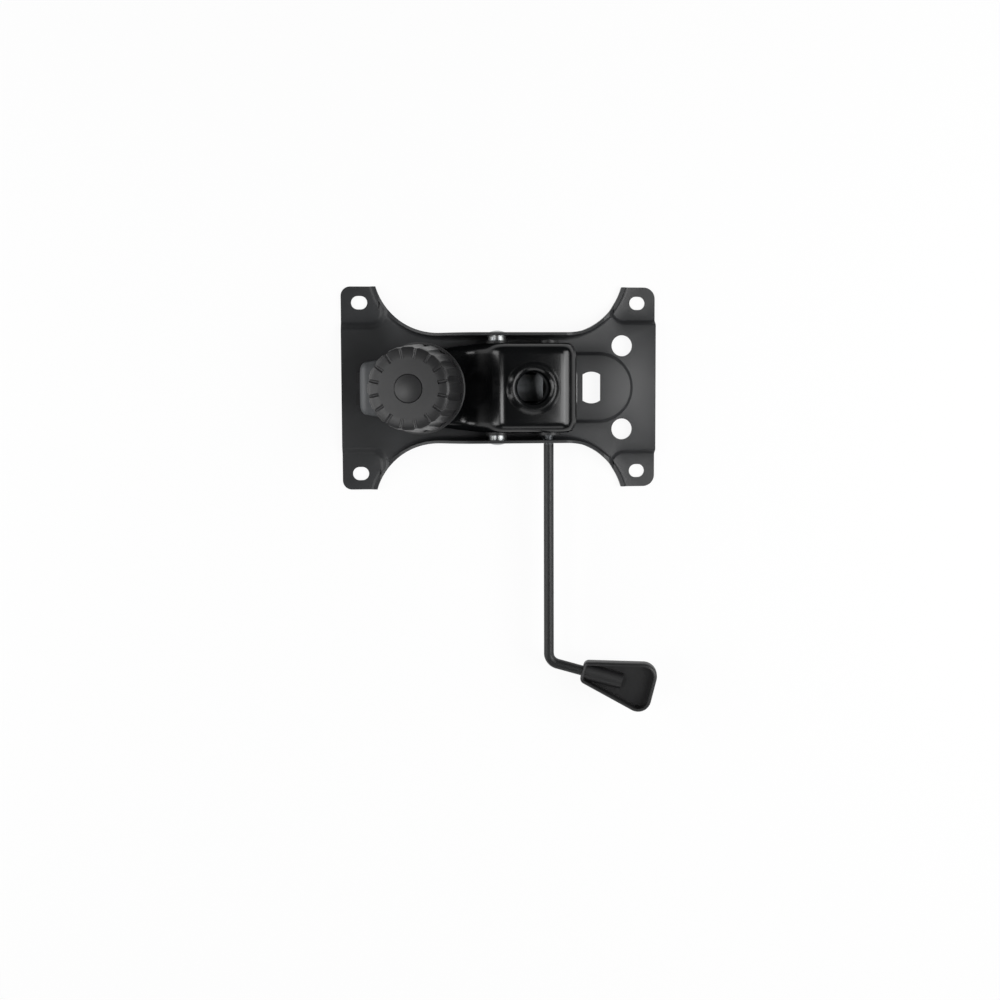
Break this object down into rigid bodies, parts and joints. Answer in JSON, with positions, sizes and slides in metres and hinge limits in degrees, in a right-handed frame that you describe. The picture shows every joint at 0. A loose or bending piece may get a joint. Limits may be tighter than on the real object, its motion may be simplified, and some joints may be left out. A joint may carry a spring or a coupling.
{
  "type": "office chair tilt mechanism",
  "caption": "Pressed steel chair tilt mechanism: slotted seat plate rocking on a drawn housing with a gas lift socket, tension knob and bent release lever with a paddle.",
  "frame": {"origin": "middle of the four seat bolt slots, on the face that meets the seat", "axes": "+X towards the chair's rear, +Y across the chair away from the lever, +Z away from the seat: the part lies on its seat side, and is turned over in a chair"},
  "size_m": [0.288, 0.3839, 0.0997],
  "materials": {
    "coated_steel": "semi-gloss black powder coat",
    "bare_steel": "oiled spring steel",
    "zinc_steel": "bright zinc plate",
    "rubber": "matt black rubber",
    "nylon": "black bearing nylon",
    "black_plastic": "fine-grained black plastic"
  },
  "bodies": {
    "seat": {"seat_plate": "coated_steel", "bolt_saddle": "bare_steel", "saddle_rivets": "zinc_steel", "pivot_axle": "zinc_steel", "axle_washers": "zinc_steel", "front_bumpers": "rubber"},
    "base": {"base_housing": "coated_steel", "gas_lift_socket": "coated_steel", "pivot_bushes": "nylon", "lever_guide_bush": "nylon", "lever_end_bush": "nylon", "spring_seat_washer": "bare_steel", "recline_pads": "rubber", "tension_spring": "bare_steel"},
    "bolt": {"tension_bolt": "zinc_steel"},
    "cup": {"spring_cup": "bare_steel", "slip_washer": "nylon"},
    "knob": {"tension_knob": "black_plastic", "knob_cap": "black_plastic", "tension_nut": "zinc_steel"},
    "lever_slide": {"lever_sleeve": "nylon"},
    "lever": {"lever_rod": "coated_steel", "lever_paddle": "black_plastic", "release_tongue": "bare_steel", "lever_rings": "zinc_steel"}
  },
  "joints": [
    {"name": "seat_tilt", "type": "hinge", "parent": "seat", "child": "base", "pos_m": [-0.0045, 0, 0.026], "axis": [0, 1, 0], "range_deg": [0, 10], "stiffness_Nm_per_rad": 60, "springref_deg": -20.05, "deforming": ["tension_spring"]},
    {"name": "bolt_rock", "type": "hinge", "parent": "seat", "child": "bolt", "pos_m": [-0.0645, 0, 0.006], "axis": [0, 1, 0], "range_deg": [0, 10]},
    {"name": "cup_travel", "type": "slide", "parent": "bolt", "child": "cup", "axis": [-0.225, 0, 0.9744], "range_m": [-0.0031, 0.0031]},
    {"name": "knob_turn", "type": "hinge", "parent": "cup", "child": "knob", "pos_m": [-0.0645, 0, 0.006], "axis": [-0.225, 0, 0.9744], "range_deg": [-720, 720]},
    {"name": "lever_in_out", "type": "slide", "parent": "base", "child": "lever_slide", "axis": [0, -1, 0], "range_m": [0, 0.006]},
    {"name": "lever_lift", "type": "hinge", "parent": "lever_slide", "child": "lever", "pos_m": [0.0415, 0, 0.028], "axis": [0, 1, 0], "range_deg": [0, 10], "stiffness_Nm_per_rad": 0.5, "springref_deg": -28.65}
  ],
  "couplings": [
    {"joint": "bolt_rock", "follows": "seat_tilt", "ratio": 1},
    {"joint": "cup_travel", "follows": "knob_turn", "m_per_rad": 0.00023873}
  ]
}
